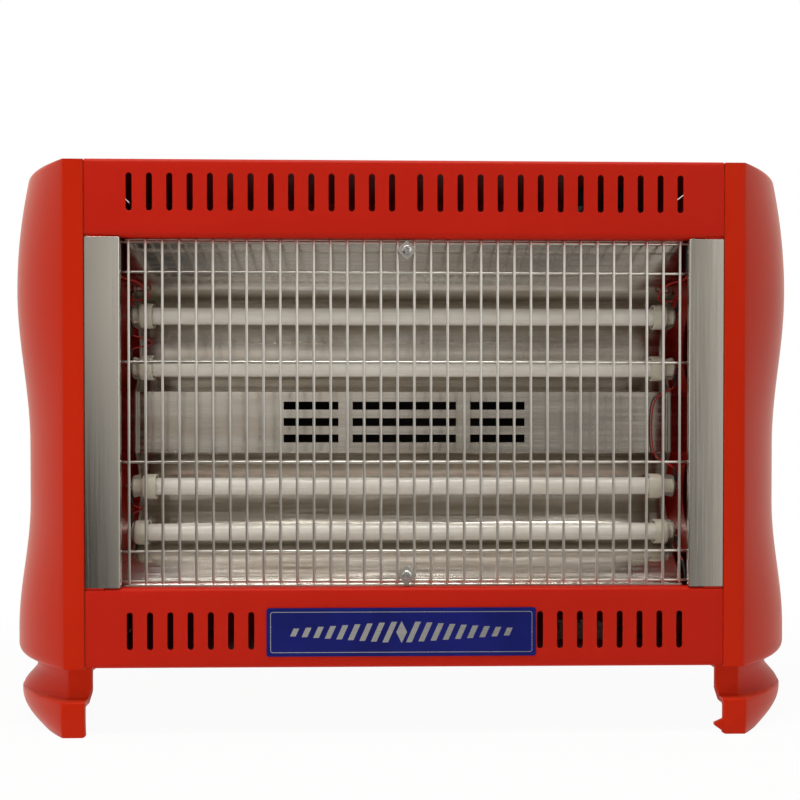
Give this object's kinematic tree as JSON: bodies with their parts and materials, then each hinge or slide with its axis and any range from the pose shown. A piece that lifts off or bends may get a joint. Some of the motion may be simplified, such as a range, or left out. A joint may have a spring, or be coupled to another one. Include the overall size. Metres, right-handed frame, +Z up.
{
  "type": "electric heater",
  "caption": "Free-standing radiant heater: sheet-metal body between moulded end cheeks on feet, quartz tubes before a folded reflector behind a wire grille, rocker switches on top",
  "frame": {"origin": "on the floor, under the middle of the heater's width and depth", "axes": "+X to the right-hand end seen from the front, +Y to the rear, +Z up; the grille faces -Y"},
  "size_m": [0.617, 0.152, 0.4325],
  "materials": {
    "red_powder_coat": "satin powder coat",
    "black_powder_coat": "fine matt powder coat",
    "red_moulding": "semi-gloss moulding",
    "bright_steel": "bright rolled stainless",
    "polished_reflector": "polished sheet",
    "plated_wire": "bright plated wire",
    "zinc_steel": "zinc plated",
    "milky_quartz": "milky quartz",
    "resistance_wire": "oxidised resistance wire",
    "glazed_ceramic": "cream steatite ceramic",
    "black_sleeving": "silicone sleeving",
    "blue_badge": "gloss printed plate, bare",
    "black_plastic": "fine matt",
    "switch_red": "translucent red rocker",
    "cream_plastic": "moulded connector block"
  },
  "bodies": {
    "heater": {"top_cover": "red_powder_coat", "bottom_pan": "red_powder_coat", "end_plate_left": "red_powder_coat", "end_plate_right": "red_powder_coat", "rear_panel": "black_powder_coat", "end_cheek_left": "red_moulding", "end_cheek_right": "red_moulding", "foot_left": "red_moulding", "foot_right": "red_moulding", "trim_strip_left": "bright_steel", "trim_strip_right": "bright_steel", "reflector": "polished_reflector", "grille": "plated_wire", "tube_bracket_left": "zinc_steel", "tube_bracket_right": "zinc_steel", "grille_clip_top": "zinc_steel", "grille_clip_bottom": "zinc_steel", "grille_screw_top": "zinc_steel", "grille_screw_bottom": "zinc_steel", "rear_screw_1": "zinc_steel", "rear_screw_2": "zinc_steel", "rear_screw_3": "zinc_steel", "rear_screw_4": "zinc_steel", "terminal_left_1": "zinc_steel", "terminal_left_2": "zinc_steel", "terminal_left_3": "zinc_steel", "terminal_left_4": "zinc_steel", "terminal_right_1": "zinc_steel", "terminal_right_2": "zinc_steel", "terminal_right_3": "zinc_steel", "terminal_right_4": "zinc_steel", "quartz_tube_1": "milky_quartz", "quartz_tube_2": "milky_quartz", "quartz_tube_3": "milky_quartz", "quartz_tube_4": "milky_quartz", "heating_element_1": "resistance_wire", "heating_element_2": "resistance_wire", "heating_element_3": "resistance_wire", "heating_element_4": "resistance_wire", "ceramic_cap_left_1": "glazed_ceramic", "ceramic_cap_left_2": "glazed_ceramic", "ceramic_cap_left_3": "glazed_ceramic", "ceramic_cap_left_4": "glazed_ceramic", "ceramic_cap_right_1": "glazed_ceramic", "ceramic_cap_right_2": "glazed_ceramic", "ceramic_cap_right_3": "glazed_ceramic", "ceramic_cap_right_4": "glazed_ceramic", "lead_link_left_upper": "black_sleeving", "lead_link_left_lower": "black_sleeving", "lead_link_right": "black_sleeving", "lead_supply_left": "black_sleeving", "lead_supply_right": "black_sleeving", "lead_return": "black_sleeving", "badge_plate": "blue_badge", "switch_housing_1": "black_plastic", "switch_housing_2": "black_plastic", "cord_bushing": "black_plastic", "terminal_block": "cream_plastic"},
    "rocker_1": {"rocker_1": "switch_red"},
    "rocker_2": {"rocker_2": "switch_red"}
  },
  "joints": [
    {"name": "rocker_1_tilt", "type": "hinge", "parent": "heater", "child": "rocker_1", "pos_m": [0.15, 0.02, 0.4277], "axis": [1, 0, 0], "range_deg": [0, 16]},
    {"name": "rocker_2_tilt", "type": "hinge", "parent": "heater", "child": "rocker_2", "pos_m": [0.174, 0.02, 0.4277], "axis": [1, 0, 0], "range_deg": [0, 16]}
  ]
}
